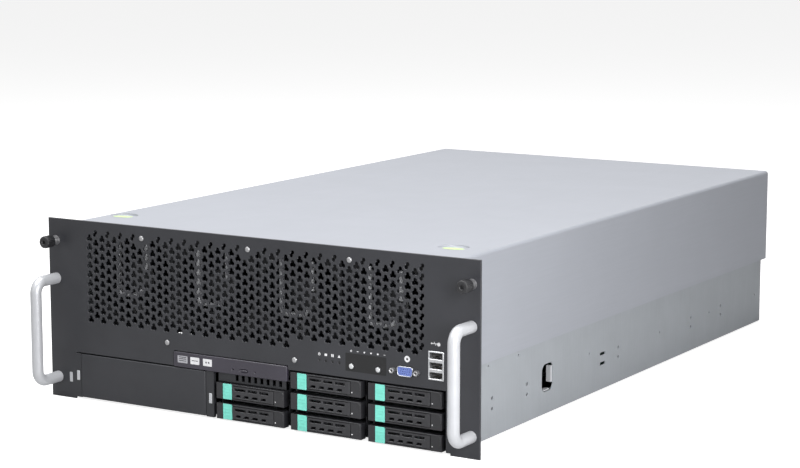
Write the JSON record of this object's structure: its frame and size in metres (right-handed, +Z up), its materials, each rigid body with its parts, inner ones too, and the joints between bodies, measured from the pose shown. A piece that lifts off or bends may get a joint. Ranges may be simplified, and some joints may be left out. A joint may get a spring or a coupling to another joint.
{
  "type": "rack server",
  "caption": "Rack-mount graphics server, four units high: vented front with grips, drive bays, optical drive, fans, boards and slide-out supplies.",
  "frame": {"origin": "bottom centre of the whole server: midway across the ears and between the grips and the supplies' pulls, at the height of the ears' feet", "axes": "+X to the right of someone facing the front, +Y to the rear, +Z up"},
  "size_m": [0.4826, 0.77, 0.177],
  "materials": {
    "panel_black": "fine matt powder coat",
    "zinc_sheet": "galvanised steel sheet with a soft grain",
    "cover_sheet": "galvanised steel sheet, a little lighter than the pan",
    "screw_zinc": "bright zinc",
    "handle_satin": "satin",
    "knob_black": "black, knurled",
    "cage_steel": "dark coated sheet",
    "carrier_black": "fine moulded grain",
    "lever_black": "fine moulded grain",
    "latch_teal": "soft sheen",
    "bezel_dark": "fine moulded grain",
    "drive_case": "plain",
    "tray_black": "smooth",
    "fan_black": "smooth",
    "bail_bright": "bright steel",
    "board_green": "solder mask",
    "button_silver": "satin",
    "port_blue": "plain",
    "port_steel": "plain",
    "fin_aluminium": "satin",
    "module_green": "solder mask",
    "card_grey": "satin",
    "supply_steel": "plain sheet",
    "supply_green": "plain"
  },
  "bodies": {
    "chassis": {"base_pan": "zinc_sheet", "rear_panel": "zinc_sheet", "front_panel": "panel_black", "vent_plate": "panel_black", "fasteners": "screw_zinc", "handle_left": "handle_satin", "handle_right": "handle_satin", "drive_cage": "cage_steel", "drive_backplane": "board_green", "bay_cover": "panel_black", "optical_drive": "drive_case", "fan_frames": "fan_black", "fan_bails": "bail_bright", "front_board": "board_green", "video_port": "port_blue", "usb_sockets": "port_steel", "main_board": "board_green", "heatsinks": "fin_aluminium", "memory_modules": "module_green", "graphics_cards": "card_grey"},
    "cover": {"top_cover": "cover_sheet"},
    "left_thumbscrew": {"thumbscrew_left": "knob_black"},
    "right_thumbscrew": {"thumbscrew_right": "knob_black"},
    "drive_1": {"carrier_1": "carrier_black"},
    "lever_arm_1": {"lever_1": "lever_black"},
    "latch_key_1": {"latch_1": "latch_teal"},
    "drive_2": {"carrier_2": "carrier_black"},
    "lever_arm_2": {"lever_2": "lever_black"},
    "latch_key_2": {"latch_2": "latch_teal"},
    "drive_3": {"carrier_3": "carrier_black"},
    "lever_arm_3": {"lever_3": "lever_black"},
    "latch_key_3": {"latch_3": "latch_teal"},
    "drive_4": {"carrier_4": "carrier_black"},
    "lever_arm_4": {"lever_4": "lever_black"},
    "latch_key_4": {"latch_4": "latch_teal"},
    "drive_5": {"carrier_5": "carrier_black"},
    "lever_arm_5": {"lever_5": "lever_black"},
    "latch_key_5": {"latch_5": "latch_teal"},
    "drive_6": {"carrier_6": "carrier_black"},
    "lever_arm_6": {"lever_6": "lever_black"},
    "latch_key_6": {"latch_6": "latch_teal"},
    "drive_7": {"carrier_7": "carrier_black"},
    "lever_arm_7": {"lever_7": "lever_black"},
    "latch_key_7": {"latch_7": "latch_teal"},
    "drive_8": {"carrier_8": "carrier_black"},
    "lever_arm_8": {"lever_8": "lever_black"},
    "latch_key_8": {"latch_8": "latch_teal"},
    "disc_drawer": {"disc_tray": "tray_black", "disc_bezel": "bezel_dark"},
    "eject_key": {"eject_button": "bezel_dark"},
    "fan_1": {"fan_rotor_1": "fan_black"},
    "fan_2": {"fan_rotor_2": "fan_black"},
    "fan_3": {"fan_rotor_3": "fan_black"},
    "fan_4": {"fan_rotor_4": "fan_black"},
    "power_key": {"power_button": "button_silver"},
    "locate_key": {"locate_button": "button_silver"},
    "supply_1": {"power_supply_1": "supply_steel"},
    "supply_latch_key_1": {"supply_latch_1": "supply_green"},
    "supply_2": {"power_supply_2": "supply_steel"},
    "supply_latch_key_2": {"supply_latch_2": "supply_green"}
  },
  "joints": [
    {"name": "cover_lift", "type": "slide", "parent": "chassis", "child": "cover", "axis": [0, 0, 1], "range_m": [0, 0.11]},
    {"name": "left_thumbscrew_turn", "type": "hinge", "parent": "chassis", "child": "left_thumbscrew", "pos_m": [-0.23255, -0.3485, 0.1552], "axis": [0, 1, 0], "continuous": true},
    {"name": "right_thumbscrew_turn", "type": "hinge", "parent": "chassis", "child": "right_thumbscrew", "pos_m": [0.23255, -0.3485, 0.1552], "axis": [0, 1, 0], "continuous": true},
    {"name": "carrier_1_slide", "type": "slide", "parent": "chassis", "child": "drive_1", "axis": [0, -1, 0], "range_m": [0, 0.118]},
    {"name": "lever_1_swing", "type": "hinge", "parent": "drive_1", "child": "lever_arm_1", "pos_m": [0.02165, -0.3471, 0.0096], "axis": [0, 0, 1], "range_deg": [0, 55]},
    {"name": "latch_1_press", "type": "slide", "parent": "drive_1", "child": "latch_key_1", "axis": [0, 1, 0], "range_m": [0, 0.0015], "stiffness_N_per_m": 400, "springref_m": -0.002},
    {"name": "carrier_2_slide", "type": "slide", "parent": "chassis", "child": "drive_2", "axis": [0, -1, 0], "range_m": [0, 0.118]},
    {"name": "lever_2_swing", "type": "hinge", "parent": "drive_2", "child": "lever_arm_2", "pos_m": [0.02165, -0.3471, 0.029], "axis": [0, 0, 1], "range_deg": [0, 55]},
    {"name": "latch_2_press", "type": "slide", "parent": "drive_2", "child": "latch_key_2", "axis": [0, 1, 0], "range_m": [0, 0.0015], "stiffness_N_per_m": 400, "springref_m": -0.002},
    {"name": "carrier_3_slide", "type": "slide", "parent": "chassis", "child": "drive_3", "axis": [0, -1, 0], "range_m": [0, 0.118]},
    {"name": "lever_3_swing", "type": "hinge", "parent": "drive_3", "child": "lever_arm_3", "pos_m": [0.10555, -0.3471, 0.0096], "axis": [0, 0, 1], "range_deg": [0, 55]},
    {"name": "latch_3_press", "type": "slide", "parent": "drive_3", "child": "latch_key_3", "axis": [0, 1, 0], "range_m": [0, 0.0015], "stiffness_N_per_m": 400, "springref_m": -0.002},
    {"name": "carrier_4_slide", "type": "slide", "parent": "chassis", "child": "drive_4", "axis": [0, -1, 0], "range_m": [0, 0.118]},
    {"name": "lever_4_swing", "type": "hinge", "parent": "drive_4", "child": "lever_arm_4", "pos_m": [0.10555, -0.3471, 0.029], "axis": [0, 0, 1], "range_deg": [0, 55]},
    {"name": "latch_4_press", "type": "slide", "parent": "drive_4", "child": "latch_key_4", "axis": [0, 1, 0], "range_m": [0, 0.0015], "stiffness_N_per_m": 400, "springref_m": -0.002},
    {"name": "carrier_5_slide", "type": "slide", "parent": "chassis", "child": "drive_5", "axis": [0, -1, 0], "range_m": [0, 0.118]},
    {"name": "lever_5_swing", "type": "hinge", "parent": "drive_5", "child": "lever_arm_5", "pos_m": [0.10555, -0.3471, 0.0484], "axis": [0, 0, 1], "range_deg": [0, 55]},
    {"name": "latch_5_press", "type": "slide", "parent": "drive_5", "child": "latch_key_5", "axis": [0, 1, 0], "range_m": [0, 0.0015], "stiffness_N_per_m": 400, "springref_m": -0.002},
    {"name": "carrier_6_slide", "type": "slide", "parent": "chassis", "child": "drive_6", "axis": [0, -1, 0], "range_m": [0, 0.118]},
    {"name": "lever_6_swing", "type": "hinge", "parent": "drive_6", "child": "lever_arm_6", "pos_m": [0.18945, -0.3471, 0.0096], "axis": [0, 0, 1], "range_deg": [0, 55]},
    {"name": "latch_6_press", "type": "slide", "parent": "drive_6", "child": "latch_key_6", "axis": [0, 1, 0], "range_m": [0, 0.0015], "stiffness_N_per_m": 400, "springref_m": -0.002},
    {"name": "carrier_7_slide", "type": "slide", "parent": "chassis", "child": "drive_7", "axis": [0, -1, 0], "range_m": [0, 0.118]},
    {"name": "lever_7_swing", "type": "hinge", "parent": "drive_7", "child": "lever_arm_7", "pos_m": [0.18945, -0.3471, 0.029], "axis": [0, 0, 1], "range_deg": [0, 55]},
    {"name": "latch_7_press", "type": "slide", "parent": "drive_7", "child": "latch_key_7", "axis": [0, 1, 0], "range_m": [0, 0.0015], "stiffness_N_per_m": 400, "springref_m": -0.002},
    {"name": "carrier_8_slide", "type": "slide", "parent": "chassis", "child": "drive_8", "axis": [0, -1, 0], "range_m": [0, 0.118]},
    {"name": "lever_8_swing", "type": "hinge", "parent": "drive_8", "child": "lever_arm_8", "pos_m": [0.18945, -0.3471, 0.0484], "axis": [0, 0, 1], "range_deg": [0, 55]},
    {"name": "latch_8_press", "type": "slide", "parent": "drive_8", "child": "latch_key_8", "axis": [0, 1, 0], "range_m": [0, 0.0015], "stiffness_N_per_m": 400, "springref_m": -0.002},
    {"name": "disc_drawer_slide", "type": "slide", "parent": "chassis", "child": "disc_drawer", "axis": [0, -1, 0], "range_m": [0, 0.112]},
    {"name": "eject_press", "type": "slide", "parent": "disc_drawer", "child": "eject_key", "axis": [0, 1, 0], "range_m": [0, 0.0008], "stiffness_N_per_m": 200, "springref_m": -0.002},
    {"name": "fan_1_spin", "type": "hinge", "parent": "chassis", "child": "fan_1", "pos_m": [-0.1465, -0.3145, 0.12295], "axis": [0, 1, 0], "continuous": true},
    {"name": "fan_2_spin", "type": "hinge", "parent": "chassis", "child": "fan_2", "pos_m": [-0.0515, -0.3145, 0.12295], "axis": [0, 1, 0], "continuous": true},
    {"name": "fan_3_spin", "type": "hinge", "parent": "chassis", "child": "fan_3", "pos_m": [0.0435, -0.3145, 0.12295], "axis": [0, 1, 0], "continuous": true},
    {"name": "fan_4_spin", "type": "hinge", "parent": "chassis", "child": "fan_4", "pos_m": [0.1385, -0.3145, 0.12295], "axis": [0, 1, 0], "continuous": true},
    {"name": "power_press", "type": "slide", "parent": "chassis", "child": "power_key", "axis": [0, 1, 0], "range_m": [0, 0.001], "stiffness_N_per_m": 250, "springref_m": -0.002},
    {"name": "locate_press", "type": "slide", "parent": "chassis", "child": "locate_key", "axis": [0, 1, 0], "range_m": [0, 0.001], "stiffness_N_per_m": 250, "springref_m": -0.002},
    {"name": "supply_1_slide", "type": "slide", "parent": "chassis", "child": "supply_1", "axis": [0, 1, 0], "range_m": [0, 0.195]},
    {"name": "supply_latch_1_squeeze", "type": "slide", "parent": "supply_1", "child": "supply_latch_key_1", "axis": [-1, 0, 0], "range_m": [0, 0.0025], "stiffness_N_per_m": 600, "springref_m": -0.002},
    {"name": "supply_2_slide", "type": "slide", "parent": "chassis", "child": "supply_2", "axis": [0, 1, 0], "range_m": [0, 0.195]},
    {"name": "supply_latch_2_squeeze", "type": "slide", "parent": "supply_2", "child": "supply_latch_key_2", "axis": [-1, 0, 0], "range_m": [0, 0.0025], "stiffness_N_per_m": 600, "springref_m": -0.002}
  ]
}
